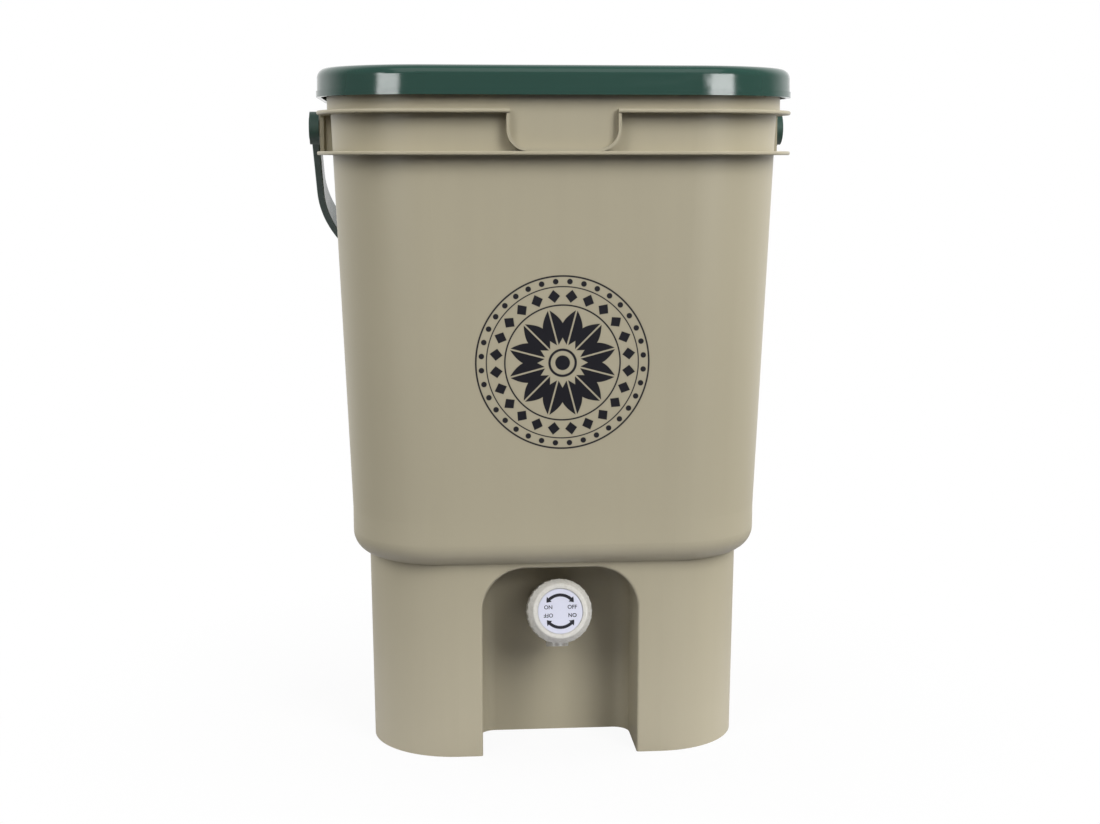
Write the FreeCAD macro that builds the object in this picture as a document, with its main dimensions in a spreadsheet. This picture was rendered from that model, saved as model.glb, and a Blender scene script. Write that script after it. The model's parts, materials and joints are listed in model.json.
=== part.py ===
import FreeCAD
import Part
import math
import os
import re
import Sketcher
from FreeCAD import Placement, Rotation, Vector

# Bokashi bin: a tapered tank on a foot skirt, with a press-on lid, a strap bail, a drain tray
# and a screw tap in an arched recess. Millimetres, +Z up, the front faces -Y, and the origin is
# on the floor under the middle of the tank.

SIZES = {
    # walls and clearances
    "wall": 2.5,
    "part_gap": 0.3,
    "running_gap": 0.08,
    # bin: heights, stacked from the floor up
    "floor_height": 62.0,
    "shoulder_height": 122.0,
    "tank_height": 246.7,
    "flange_thickness": 2.3,
    "flange_gap": 21.8,
    "rim_height": 18.9,
    # bin: plan sizes
    "rim_width": 276.6,
    "rim_depth": 224.0,
    "rim_corner": 58.5,
    "rim_step": 2.1,
    "tank_foot_width": 253.8,
    "tank_foot_depth": 213.0,
    "tank_foot_corner": 58.0,
    "flange_width": 289.2,
    "flange_depth": 236.0,
    "flange_corner": 63.5,
    "flange_round": 0.9,
    "shoulder_step": 10.0,
    "shoulder_round": 14.0,
    "ledge_round": 6.0,
    "skirt_corner": 54.0,
    "skirt_draft": 1.5,
    # bin: arched recess for the tap
    "recess_width": 96.0,
    "recess_depth": 48.5,
    "recess_corner": 27.0,
    "recess_land": 2.6,
    "recess_back_round": 10.0,
    "recess_edge_round": 1.5,
    # bin: finger notch and handle boxes
    "notch_width": 66.6,
    "notch_corner": 12.4,
    "notch_rib": 1.8,
    "box_length": 52.0,
    "box_web_spacing": 42.0,
    "box_inset": 0.3,
    "pivot_rise": 14.7,
    # lid
    "lid_height": 17.0,
    "lid_skirt": 11.0,
    "lid_side_gap": 3.4,
    "lid_draft": 0.5,
    "lid_round": 5.5,
    "lid_lip": 0.4,
    "lid_lip_height": 3.6,
    "lid_top": 3.0,
    "lid_plug_height": 11.0,
    "lid_plug_gap": 0.5,
    "lid_panel_border": 16.0,
    "lid_panel_depth": 1.2,
    # handle
    "handle_thickness": 4.8,
    "handle_width": 17.6,
    "handle_reach": 139.0,
    "handle_arm": 63.0,
    "handle_bow": 160.0,
    "handle_corner": 32.0,
    "handle_round": 1.2,
    "ear_radius": 10.3,
    "ear_thickness": 6.4,
    "ear_gap": 1.2,
    "ear_step": 0.9,
    "ear_bead": 1.3,
    "button_radius": 7.6,
    "peg_radius": 5.0,
    "socket_floor": 1.7,
    # drain tray
    "tray_bearing": 3.5,
    "tray_corner": 49.0,
    "tray_plate": 2.5,
    "tray_rim_height": 12.0,
    "tray_hole": 7.0,
    "tray_pitch": 24.0,
    # tap: shank and what clamps it
    "shank_above_floor": 19.7,
    "shank_radius": 10.0,
    "shank_bore": 6.0,
    "shank_inside": 16.0,
    "shank_clearance": 0.2,
    "tap_flange_radius": 17.0,
    "tap_flange_thickness": 3.0,
    "washer_thickness": 2.5,
    "nut_flats": 29.0,
    "nut_thickness": 8.0,
    # tap: barrel, tilted up from the shank
    "barrel_tilt": 15.0,
    "barrel_start": 10.0,
    "barrel_radius": 11.0,
    "barrel_bore": 8.2,
    "barrel_length": 27.0,
    "barrel_back": 3.0,
    "spout_radius": 7.0,
    "spout_bore": 5.0,
    "spout_drop": 22.0,
    "spout_along": 9.5,
    # tap: spindle and seals
    "valve_radius": 7.6,
    "valve_thickness": 2.5,
    "stem_radius": 4.0,
    "piston_start": 17.0,
    "piston_length": 6.0,
    "seal_cord_radius": 1.1,
    # tap: knob
    "knob_radius": 19.8,
    "knob_start": 18.5,
    "knob_depth": 20.0,
    "knob_bevel": 4.0,
    "knob_ring_radius": 16.6,
    "knob_front_wall": 4.0,
    "knob_wall": 3.0,
    "knob_hub_radius": 7.0,
    "knob_hub_length": 4.5,
    "knob_rib_width": 1.2,
    "knob_rib_height": 0.2,
    "knob_round": 1.6,
    "label_radius": 13.8,
    "label_thickness": 0.5,
    "label_recess": 1.2,
}

# Sizes that follow from the ones above; each formula may use other entries of either list.
DERIVED = {
    "lower_flange_base": "shoulder_height + tank_height",
    "lower_flange_top": "lower_flange_base + flange_thickness",
    "upper_flange_base": "lower_flange_top + flange_gap",
    "upper_flange_top": "upper_flange_base + flange_thickness",
    "rim_top": "upper_flange_top + rim_height",
    "tank_top_x": "rim_width / 2 - rim_step",
    "tank_top_y": "rim_depth / 2 - rim_step",
    "tank_foot_x": "tank_foot_width / 2",
    "tank_foot_y": "tank_foot_depth / 2",
    "taper_start": "shoulder_height + 2 * shoulder_round",
    "ledge_height": "shoulder_height + shoulder_round - ledge_round",
    "skirt_x": "tank_foot_x - shoulder_step",
    "skirt_y": "tank_foot_y - shoulder_step",
    "skirt_top": "(shoulder_height + ledge_height) / 2",
    "floor_draft": "skirt_draft * (1 - floor_height / shoulder_height)",
    "recess_back": "skirt_y - recess_depth",
    "recess_top": "max(shoulder_height - recess_land; knob_top + part_gap)",
    "box_x": "flange_width / 2 - box_inset",
    "pivot_height": "lower_flange_top + pivot_rise",
    "lid_x": "max(rim_width / 2 + lid_side_gap + wall; flange_width / 2 - lid_lip)",
    "lid_y": "max(rim_depth / 2 + lid_side_gap + wall; flange_depth / 2 - lid_lip)",
    "lid_corner": "rim_corner + lid_side_gap + wall",
    "lid_base": "rim_top - lid_skirt",
    "lid_under": "lid_base + lid_height - lid_top",
    "plug_x": "rim_width / 2 - wall - lid_plug_gap",
    "plug_y": "rim_depth / 2 - wall - lid_plug_gap",
    "plug_corner": "rim_corner - wall - lid_plug_gap",
    "ear_x": "flange_width / 2 + ear_gap",
    "peg_length": "ear_x - box_x + ear_thickness - socket_floor - part_gap",
    "shank_height": "floor_height + shank_above_floor",
    "shank_total": "barrel_start + wall + shank_inside",
    "knob_front": "knob_start + knob_depth",
    "knob_inside": "knob_front - knob_front_wall",
    "knob_top": "shank_height + knob_front * sin(barrel_tilt) + knob_radius * cos(barrel_tilt)",
    "label_base": "knob_front - label_recess",
    "handle_rest": "atan(handle_width / 2 / handle_reach)"
                   " + asin((max(tank_top_y; tank_foot_y) + part_gap)"
                   " / sqrt(handle_reach ^ 2 + handle_width ^ 2 / 4))",
}

TRAY_COLUMNS = 7
TRAY_ROWS = 5
KNOB_RIBS = 28
QUARTER = math.pi / 2


def expand(text):
    """Spell a formula out in sheet cells, with derived sizes replaced by their own formulas."""
    def word(match):
        name = match.group(0)
        if name in DERIVED:
            return "(" + expand(DERIVED[name]) + ")"
        return "Sizes." + name if name in SIZES else name
    return re.sub(r"[a-z][a-z_]*", word, text)


def value(text):
    """The present value of a formula, in millimetres or degrees."""
    return float(sheet.evalExpression(expand(text)))


def make_sheet():
    """The sheet of driving sizes, one named cell each."""
    table = doc.addObject("Spreadsheet::Sheet", "Sizes")
    for row, (name, number) in enumerate(SIZES.items(), start=1):
        table.set(f"A{row}", name)
        table.set(f"B{row}", str(number))
        table.setAlias(f"B{row}", name)
    doc.recompute()
    return table


def new_body(label):
    body = doc.addObject("PartDesign::Body", label)
    body.Label = label
    return body


def new_sketch(body, role, offset="0"):
    """A sketch on one of the body's own origin planes, moved along that plane's normal."""
    plane = next(item for item in body.Origin.OriginFeatures if item.Role == role)
    sketch = body.newObject("Sketcher::SketchObject", body.Name + "_sketch")
    sketch.AttachmentSupport = [(plane, "")]
    sketch.MapMode = "FlatFace"
    sketch.setExpression("AttachmentOffset.Base.z", expand(offset))
    return sketch


def dimension(sketch, constraint, text):
    """Add a dimension whose value is the formula."""
    index = sketch.addConstraint(constraint)
    sketch.setExpression(f"Constraints[{index}]", expand(text))


def locate(sketch, geometry, point, axis, text):
    """Hold one coordinate of a point at the formula, measured from the sketch's origin."""
    if text == "0":
        line = -2 if axis == "X" else -1
        sketch.addConstraint(Sketcher.Constraint("PointOnObject", geometry, point, line))
        return
    number = value(text)
    kind = "Distance" + axis
    if number > 0:
        dimension(sketch, Sketcher.Constraint(kind, -1, 1, geometry, point, number), text)
    else:
        dimension(sketch, Sketcher.Constraint(kind, geometry, point, -1, 1, -number), f"-({text})")


def add_rounded_rect(sketch, half_x, half_y, corner):
    """A rectangle with four equal rounded corners, centred on the sketch's origin."""
    radius = value(corner)
    x, y = value(half_x) - radius, value(half_y) - radius
    first = sketch.GeometryCount
    for number, (cx, cy) in enumerate([(x, y), (-x, y), (-x, -y), (x, -y)]):
        circle = Part.Circle(Vector(cx, cy, 0), Vector(0, 0, 1), radius)
        sketch.addGeometry(Part.ArcOfCircle(circle, QUARTER * number, QUARTER * (number + 1)))
    for number in range(4):
        after = first + (number + 1) % 4
        line = Part.LineSegment(sketch.Geometry[first + number].EndPoint, sketch.Geometry[after].StartPoint)
        side = sketch.addGeometry(line)
        sketch.addConstraint(Sketcher.Constraint("Tangent", first + number, 2, side, 1))
        sketch.addConstraint(Sketcher.Constraint("Tangent", side, 2, after, 1))
        sketch.addConstraint(Sketcher.Constraint("Vertical" if number % 2 else "Horizontal", side))
    for number in range(1, 4):
        sketch.addConstraint(Sketcher.Constraint("Equal", first, first + number))
    dimension(sketch, Sketcher.Constraint("Radius", first, radius), corner)
    sides = [("Y", half_y), ("X", f"-({half_x})"), ("Y", f"-({half_y})"), ("X", half_x)]
    for number, (axis, text) in enumerate(sides):
        locate(sketch, first + 4 + number, 1, axis, text)


def add_arch(sketch, half_width, foot, cap, corner, upward=True):
    """A straight-sided outline from a flat foot to a flat cap with two rounded corners."""
    width, low, high, radius = value(half_width), value(foot), value(cap), value(corner)
    bend = high - radius if upward else high + radius
    turn = 0 if upward else 3
    for number, cx in enumerate([width - radius, radius - width]):
        start = QUARTER * (turn + number if upward else turn - number)
        circle = Part.Circle(Vector(cx, bend, 0), Vector(0, 0, 1), radius)
        sketch.addGeometry(Part.ArcOfCircle(circle, start, start + QUARTER))
    corners = [(-width, low), (width, low), (width, bend), (width - radius, high),
               (radius - width, high), (-width, bend)]
    points = [Vector(x, y, 0) for x, y in corners]
    base, right, top, left = (sketch.addGeometry(Part.LineSegment(points[a], points[b]))
                              for a, b in [(0, 1), (1, 2), (3, 4), (5, 0)])
    near, far = (1, 2) if upward else (2, 1)
    sketch.addConstraint([
        Sketcher.Constraint("Coincident", base, 1, left, 2),
        Sketcher.Constraint("Coincident", base, 2, right, 1),
        Sketcher.Constraint("Tangent", right, 2, 0, near),
        Sketcher.Constraint("Tangent", 0, far, top, 1),
        Sketcher.Constraint("Tangent", top, 2, 1, near),
        Sketcher.Constraint("Tangent", 1, far, left, 1),
        Sketcher.Constraint("Horizontal", base),
        Sketcher.Constraint("Horizontal", top),
        Sketcher.Constraint("Vertical", right),
        Sketcher.Constraint("Vertical", left),
        Sketcher.Constraint("Equal", 0, 1),
    ])
    dimension(sketch, Sketcher.Constraint("Radius", 0, radius), corner)
    locate(sketch, base, 2, "X", half_width)
    locate(sketch, base, 1, "X", f"-({half_width})")
    locate(sketch, base, 2, "Y", foot)
    locate(sketch, top, 1, "Y", cap)


def add_polygon(sketch, corners):
    """A closed outline of straight lines through corners given as pairs of formulas."""
    points = [Vector(value(x), value(y), 0) for x, y in corners]
    first = sketch.GeometryCount
    count = len(points)
    for number in range(count):
        sketch.addGeometry(Part.LineSegment(points[number], points[(number + 1) % count]))
    for number, (x, y) in enumerate(corners):
        after = first + (number + 1) % count
        sketch.addConstraint(Sketcher.Constraint("Coincident", first + number, 2, after, 1))
        locate(sketch, first + number, 1, "X", x)
        locate(sketch, first + number, 1, "Y", y)


def add_rectangle(sketch, left, right, low, high):
    add_polygon(sketch, [(left, low), (right, low), (right, high), (left, high)])


def add_circle(sketch, radius, x="0", y="0"):
    circle = Part.Circle(Vector(value(x), value(y), 0), Vector(0, 0, 1), value(radius))
    index = sketch.addGeometry(circle)
    dimension(sketch, Sketcher.Constraint("Radius", index, value(radius)), radius)
    locate(sketch, index, 3, "X", x)
    locate(sketch, index, 3, "Y", y)


def extrude(body, kind, sketch, length=None, backward=False):
    """A Pad or Pocket; with no length a Pocket cuts through everything on its side."""
    feature = body.newObject("PartDesign::" + kind, body.Name + "_" + kind.lower())
    feature.Profile = sketch
    feature.Reversed = backward
    if length is None:
        feature.Type = "ThroughAll"
    else:
        feature.setExpression("Length", expand(length))
    doc.recompute()
    return feature


def taper(feature, angle):
    """Lean a Pad's sides outwards by an angle, or inwards where it is negative."""
    feature.setExpression("TaperAngle", expand(angle))
    doc.recompute()


def loft(body, kind, lower, upper):
    """A straight-sided loft between two sketches, added to or cut from the body."""
    feature = body.newObject("PartDesign::" + kind, body.Name + "_" + kind.lower())
    feature.Profile = lower
    feature.Sections = [upper]
    feature.Ruled = True
    doc.recompute()
    return feature


def plan(body, height, half_x, half_y, corner):
    """A horizontal rounded-rectangle sketch at a height."""
    sketch = new_sketch(body, "XY_Plane", height)
    add_rounded_rect(sketch, half_x, half_y, corner)
    return sketch


def ring_plan(body, height, outer, inner):
    """A horizontal ring between two rounded rectangles, each (half_x, half_y, corner)."""
    sketch = plan(body, height, *outer)
    add_rounded_rect(sketch, *inner)
    return sketch


def fillet(body, radius, wanted):
    """Round the edges of the body's last feature whose bounding boxes pass the test."""
    base = body.Tip
    names = [f"Edge{n}" for n, edge in enumerate(base.Shape.Edges, start=1) if wanted(edge.BoundBox)]
    feature = body.newObject("PartDesign::Fillet", body.Name + "_fillet")
    feature.Base = (base, names)
    feature.setExpression("Radius", expand(radius))
    doc.recompute()


def level(text):
    """A test for edges that lie flat at a height."""
    height = value(text)
    return lambda box: box.ZLength < 0.01 and abs(box.ZMin - height) < 0.01


def revolve(body, sketch):
    """Turn a sketch, drawn as radius and height, once round the body's Z axis."""
    feature = body.newObject("PartDesign::Revolution", body.Name + "_revolution")
    feature.Profile = sketch
    feature.ReferenceAxis = (sketch, ["V_Axis"])
    feature.Angle = 360
    doc.recompute()


def cylinder(body, kind, radius, length, turn="0", base=("0", "0")):
    """A primitive cylinder from a point (y, z) of the body, its axis turned about X from +Z."""
    feature = body.newObject(f"PartDesign::{kind}Cylinder", body.Name + "_cylinder")
    feature.setExpression("Radius", expand(radius))
    feature.setExpression("Height", expand(length))
    feature.Placement = Placement(Vector(0, 0, 0), Rotation(Vector(1, 0, 0), 1))
    feature.setExpression("Placement.Rotation.Angle", expand(turn))
    feature.setExpression("Placement.Base.y", expand(base[0]))
    feature.setExpression("Placement.Base.z", expand(base[1]))
    doc.recompute()
    return feature


def place_on_barrel(body):
    """Stand a body on the tap's valve seat, with its Z axis along the tilted barrel."""
    body.Placement = Placement(Vector(0, 0, 0), Rotation(Vector(1, 0, 0), 1))
    body.setExpression("Placement.Rotation.Angle", expand("90 - barrel_tilt"))
    body.setExpression("Placement.Base.y", expand("-recess_back - barrel_start"))
    body.setExpression("Placement.Base.z", expand("shank_height"))


def turned_on_barrel(label, corners):
    """A turned piece of the tap: its outline is (radius, distance from the valve seat)."""
    body = new_body(label)
    sketch = new_sketch(body, "XZ_Plane")
    add_polygon(sketch, corners)
    revolve(body, sketch)
    place_on_barrel(body)
    return body


def disc(radius, start, end):
    """The outline of a plain disc, for turning."""
    return [("0", start), (radius, start), (radius, end), ("0", end)]


def make_bin():
    """The bin moulding: tank, flanges, handle boxes, finger notch, skirt and tap recess."""
    body = new_body("bin")
    foot = plan(body, "shoulder_height", "tank_foot_x", "tank_foot_y", "tank_foot_corner")
    extrude(body, "Pad", foot, "taper_start - shoulder_height")
    fillet(body, "shoulder_round", level("shoulder_height"))
    loft(body, "AdditiveLoft",
         plan(body, "taper_start", "tank_foot_x", "tank_foot_y", "tank_foot_corner"),
         plan(body, "upper_flange_top", "tank_top_x", "tank_top_y", "rim_corner - rim_step"))
    add_flanges(body)
    add_handle_boxes(body)
    add_notch_block(body)
    hollow_tank(body)
    add_skirt(body)
    cut_recess(body)
    cut_notch(body)
    return body


def add_flanges(body):
    """The two flanges with rounded edges, and the rim that stands on the upper one."""
    for name in ("lower_flange", "upper_flange"):
        flange = plan(body, f"{name}_base", "flange_width / 2", "flange_depth / 2", "flange_corner")
        extrude(body, "Pad", flange, "flange_thickness")
        for side in ("base", "top"):
            fillet(body, "flange_round", outside_tank(level(f"{name}_{side}")))
    rim = plan(body, "upper_flange_top", "rim_width / 2", "rim_depth / 2", "rim_corner")
    extrude(body, "Pad", rim, "rim_height")


def outside_tank(wanted):
    """Narrow a test for edges to those that reach past the rim's outline, on any side."""
    x, y = value("(flange_width + rim_width) / 4"), value("(flange_depth + rim_depth) / 4")
    return lambda box: wanted(box) and (max(box.XMax, -box.XMin) > x or max(box.YMax, -box.YMin) > y)


def add_handle_boxes(body):
    """A plate held by two webs on each side, between the flanges, with a peg for the bail."""
    sketch = new_sketch(body, "XY_Plane", "lower_flange_top")
    for side in ("", "-"):
        outer, inner, root = f"{side}box_x", f"{side}(box_x - wall)", f"{side}(tank_top_x - wall)"
        half, web = "box_length / 2", "box_web_spacing / 2"
        add_polygon(sketch, [
            (outer, f"-{half}"), (outer, half), (inner, half), (inner, f"{web} + wall"),
            (root, f"{web} + wall"), (root, web), (inner, web), (inner, f"-{web}"),
            (root, f"-{web}"), (root, f"-({web} + wall)"), (inner, f"-({web} + wall)"),
            (inner, f"-{half}"),
        ])
    extrude(body, "Pad", sketch, "flange_gap")
    for side in ("", "-"):
        peg = round_sketch(body, f"{side}(box_x - wall / 2)", "peg_radius", "pivot_height")
        extrude(body, "Pad", peg, "peg_length + wall / 2", backward=(side == "-"))


def round_sketch(body, start, radius, height="0"):
    """A circle across the X axis, at a start along it and a height above it."""
    sketch = new_sketch(body, "YZ_Plane", start)
    add_circle(sketch, radius, y=height)
    return sketch


def add_notch_block(body):
    """The solid block that the finger notch is cut from, on the lower flange's front."""
    sketch = new_sketch(body, "XZ_Plane", "tank_top_y - wall")
    add_arch(sketch, "notch_width / 2", "upper_flange_base + flange_thickness / 2",
             "lower_flange_top", "notch_corner", upward=False)
    extrude(body, "Pad", sketch, "flange_depth / 2 - flange_round - tank_top_y + wall")


def hollow_tank(body):
    """The tank's inside, with the rounded ledge for the tray, and the wider inside of the rim."""
    foot = ("tank_foot_x - wall", "tank_foot_y - wall", "tank_foot_corner - wall")
    top = ("tank_top_x - wall", "tank_top_y - wall", "rim_corner - rim_step - wall")
    rim = plan(body, "rim_top", "rim_width / 2 - wall", "rim_depth / 2 - wall", "rim_corner - wall")
    extrude(body, "Pocket", rim, "rim_height")
    loft(body, "SubtractiveLoft", plan(body, "taper_start", *foot), plan(body, "upper_flange_top", *top))
    extrude(body, "Pocket", plan(body, "taper_start", *foot), "taper_start - ledge_height")
    fillet(body, "ledge_round", level("ledge_height"))


def add_skirt(body):
    """The foot skirt, the liquid reservoir inside it and the hollow under the floor."""
    def outline(height, inset, draft):
        return plan(body, height, f"skirt_x - {draft} - {inset}", f"skirt_y - {draft} - {inset}",
                    f"skirt_corner - {draft} - {inset}")
    skirt = extrude(body, "Pad", outline("0", "0", "skirt_draft"), "skirt_top")
    taper(skirt, "atan(skirt_draft / skirt_top)")
    loft(body, "SubtractiveLoft", outline("floor_height", "wall", "floor_draft"),
         outline("ledge_height + wall", "wall", "0"))
    loft(body, "SubtractiveLoft", outline("0", "wall", "skirt_draft"),
         outline("floor_height - wall", "wall", "floor_draft"))


def cut_recess(body):
    """The arched tunnel for the tap: its own walls first, then the tunnel, its rounds and the hole."""
    walls = new_sketch(body, "XZ_Plane", "recess_back - wall")
    add_arch(walls, "recess_width / 2 + wall", "0", "recess_top + wall", "recess_corner + wall")
    extrude(body, "Pad", walls, "recess_depth - skirt_draft / 2 + wall / 2")
    tunnel = new_sketch(body, "XZ_Plane", "recess_back")
    add_arch(tunnel, "recess_width / 2", "0", "recess_top", "recess_corner")
    extrude(body, "Pocket", tunnel, backward=True)
    back, reach, top = value("recess_back"), value("recess_width / 2"), value("recess_top")
    in_arch = (lambda box: box.ZMax > 0.01 and box.ZMax < top + 0.1
               and box.XMin > -reach - 0.1 and box.XMax < reach + 0.1)
    fillet(body, "recess_back_round",
           lambda box: in_arch(box) and box.YLength < 0.01 and abs(box.YMin + back) < 0.01)
    front = value("skirt_y - skirt_draft") - 0.1
    fillet(body, "recess_edge_round", lambda box: in_arch(box) and box.YMax < -front)
    hole = new_sketch(body, "XZ_Plane", "recess_back")
    add_circle(hole, "shank_radius + shank_clearance", y="shank_height")
    extrude(body, "Pocket", hole, "wall * 2")


def cut_notch(body):
    """The U-shaped finger notch, open to the front and through the upper flange."""
    sketch = new_sketch(body, "XZ_Plane", "rim_depth / 2")
    add_arch(sketch, "notch_width / 2 - notch_rib", "upper_flange_top + wall",
             "lower_flange_top + notch_rib", "notch_corner - notch_rib", upward=False)
    extrude(body, "Pocket", sketch, backward=True)


def make_lid():
    """The lid: drafted shell with a flared lip, and an inner wall that makes the rim's channel."""
    body = new_body("lid")
    shell = extrude(body, "Pad", plan(body, "lid_base", "lid_x", "lid_y", "lid_corner"), "lid_height")
    taper(shell, "-atan(lid_draft / lid_height)")
    fillet(body, "lid_round", level("lid_base + lid_height"))
    lip = plan(body, "lid_base", "lid_x + lid_lip", "lid_y + lid_lip", "lid_corner + lid_lip")
    extrude(body, "Pad", lip, "lid_lip_height")
    inside = plan(body, "lid_base", "lid_x - wall", "lid_y - wall", "lid_corner - wall")
    extrude(body, "Pocket", inside, "lid_height - lid_top", backward=True)
    plug = ring_plan(body, "lid_under - lid_plug_height", ("plug_x", "plug_y", "plug_corner"),
                     ("plug_x - wall", "plug_y - wall", "plug_corner - wall"))
    extrude(body, "Pad", plug, "lid_plug_height")
    inset = "lid_panel_border"
    panel = plan(body, "lid_base + lid_height",
                 f"lid_x - {inset}", f"lid_y - {inset}", f"lid_corner - {inset}")
    extrude(body, "Pocket", panel, "lid_panel_depth")
    return body


def make_lid_seal():
    """The soft ring between the rim's top and the lid, in the channel beside the plug."""
    body = new_body("lid_seal")
    sketch = ring_plan(
        body, "rim_top",
        ("lid_x - wall - part_gap", "lid_y - wall - part_gap", "lid_corner - wall - part_gap"),
        ("plug_x + part_gap", "plug_y + part_gap", "plug_corner + part_gap"))
    extrude(body, "Pad", sketch, "lid_under - rim_top")
    return body


def make_handle_arm(label, side):
    """One straight arm of the strap bail: a beaded ear with a button, and a socket for the peg."""
    body = new_body(label)
    section = new_sketch(body, "XY_Plane")
    faces = [f"{side}ear_x", f"{side}(ear_x + handle_thickness)"]
    add_rectangle(section, *sorted(faces, key=value), "-handle_width / 2", "handle_width / 2")
    extrude(body, "Pad", section, "handle_arm", backward=True)
    fillet(body, "handle_round", lambda box: box.XLength + box.YLength < 0.01)
    ear = round_sketch(body, f"{side}ear_x", "ear_radius")
    extrude(body, "Pad", ear, "ear_thickness - ear_step", backward=(side == "-"))
    bead = round_sketch(body, f"{side}ear_x", "ear_radius")
    add_circle(bead, "ear_radius - ear_bead")
    extrude(body, "Pad", bead, "ear_thickness - ear_step / 2", backward=(side == "-"))
    button = round_sketch(body, f"{side}ear_x", "button_radius")
    extrude(body, "Pad", button, "ear_thickness", backward=(side == "-"))
    crown = value(f"{side}(ear_x + ear_thickness)")
    fillet(body, "ear_step * 0.9", lambda box: box.XLength < 0.01 and abs(box.XMin - crown) < 0.01)
    socket = round_sketch(body, f"{side}ear_x", "peg_radius + running_gap")
    extrude(body, "Pocket", socket, "ear_thickness - socket_floor", backward=(side == ""))
    hang(body)
    return body


def make_handle_grip():
    """The bowed rest of the strap bail, from the end of one arm to the end of the other."""
    body = new_body("handle_grip")
    path = new_sketch(body, "XZ_Plane")
    add_bail_path(path)
    section = new_sketch(body, "XY_Plane", "-handle_arm")
    add_rectangle(section, "ear_x", "ear_x + handle_thickness", "-handle_width / 2", "handle_width / 2")
    strap = body.newObject("PartDesign::AdditivePipe", "handle_strap")
    strap.Profile = section
    strap.Spine = path
    doc.recompute()
    half = value("handle_width / 2")
    fillet(body, "handle_round", lambda box: box.YLength < 0.01 and abs(abs(box.YMin) - half) < 0.01
           and box.ZLength + box.XLength > half)
    hang(body)
    return body


def hang(body):
    """Swing a piece of the bail, drawn hanging straight down, back against the tank."""
    body.Placement = Placement(Vector(0, 0, 0), Rotation(Vector(1, 0, 0), 1))
    body.setExpression("Placement.Rotation.Angle", expand("handle_rest"))
    body.setExpression("Placement.Base.z", expand("pivot_height"))


def add_bail_path(sketch):
    """Bow, corner, grip and back up the other side, all tangent to each other."""
    x, reach = value("ear_x + handle_thickness / 2"), value("handle_reach + handle_thickness / 2")
    arm, bow, corner = value("handle_arm"), value("handle_bow"), value("handle_corner")
    turn = math.asin((reach - arm - corner) / (bow - corner))
    bow_x = x - bow
    corner_x = bow_x + (bow - corner) * math.cos(turn)
    corner_z = -reach + corner

    def arc(centre, radius, start, end):
        return Part.ArcOfCircle(Part.Circle(Vector(*centre, 0), Vector(0, 0, 1), radius), start, end)
    sketch.addGeometry([
        arc((bow_x, -arm), bow, 4 * QUARTER - turn, 4 * QUARTER),
        arc((corner_x, corner_z), corner, 3 * QUARTER, 4 * QUARTER - turn),
        Part.LineSegment(Vector(corner_x, -reach, 0), Vector(-corner_x, -reach, 0)),
        arc((-corner_x, corner_z), corner, 2 * QUARTER + turn, 3 * QUARTER),
        arc((-bow_x, -arm), bow, 2 * QUARTER, 2 * QUARTER + turn),
    ])
    for join in [(0, 1, 1, 2), (1, 1, 2, 1), (2, 2, 3, 2), (3, 1, 4, 2)]:
        sketch.addConstraint(Sketcher.Constraint("Tangent", *join))
    sketch.addConstraint(Sketcher.Constraint("Horizontal", 2))
    sketch.addConstraint(Sketcher.Constraint("Equal", 0, 4))
    sketch.addConstraint(Sketcher.Constraint("Equal", 1, 3))
    dimension(sketch, Sketcher.Constraint("Radius", 0, bow), "handle_bow")
    dimension(sketch, Sketcher.Constraint("Radius", 1, corner), "handle_corner")
    locate(sketch, 2, 1, "Y", "-(handle_reach + handle_thickness / 2)")
    for arc_number, end_point, side in [(0, 2, ""), (4, 1, "-")]:
        locate(sketch, arc_number, end_point, "X", f"{side}(ear_x + handle_thickness / 2)")
        locate(sketch, arc_number, end_point, "Y", "-handle_arm")
        locate(sketch, arc_number, 3, "Y", "-handle_arm")


def steps(count):
    """Formulas for an odd count of places, one tray pitch apart, about the middle."""
    half = count // 2
    return [f"{number} * tray_pitch" if number else "0" for number in range(-half, half + 1)]


def make_strainer_tray():
    """The drain tray: a drilled plate with an upstanding rim, resting on the tank's ledge."""
    body = new_body("strainer_tray")
    half_x, half_y = "skirt_x - wall + tray_bearing", "skirt_y - wall + tray_bearing"
    outer = (half_x, half_y, "tray_corner")
    inner = (f"{half_x} - wall", f"{half_y} - wall", "tray_corner - wall")
    extrude(body, "Pad", plan(body, "ledge_height", *outer), "tray_plate")
    extrude(body, "Pad", ring_plan(body, "ledge_height", outer, inner), "tray_rim_height")
    sketch = new_sketch(body, "XY_Plane", "ledge_height + tray_plate")
    for x in steps(TRAY_COLUMNS):
        for y in steps(TRAY_ROWS):
            add_circle(sketch, "tray_hole / 2", x, y)
    extrude(body, "Pocket", sketch, "tray_plate")
    return body


def make_tap_ring(label, start, radius, thickness):
    """A washer on the shank, from a distance in front of the wall's outer face towards the tank."""
    body = new_body(label)
    sketch = new_sketch(body, "XZ_Plane", f"recess_back + {start}")
    add_circle(sketch, radius, y="shank_height")
    add_circle(sketch, "shank_radius + shank_clearance", y="shank_height")
    extrude(body, "Pad", sketch, thickness, backward=True)
    return body


def make_lock_nut():
    """The hexagon nut on the shank inside the tank."""
    body = new_body("tap_lock_nut")
    sketch = new_sketch(body, "XZ_Plane", "recess_back - wall - washer_thickness")
    half, point = "nut_flats / 2", "nut_flats / 2 / cos(30)"
    edge = f"{point} / 2"
    corners = [(half, edge), ("0", point), (f"-{half}", edge), (f"-{half}", f"-{edge}"),
               ("0", f"-{point}"), (half, f"-{edge}")]
    add_polygon(sketch, [(x, f"shank_height + {y}") for x, y in corners])
    add_circle(sketch, "shank_radius + running_gap", y="shank_height")
    extrude(body, "Pad", sketch, "nut_thickness", backward=True)
    return body


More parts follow.
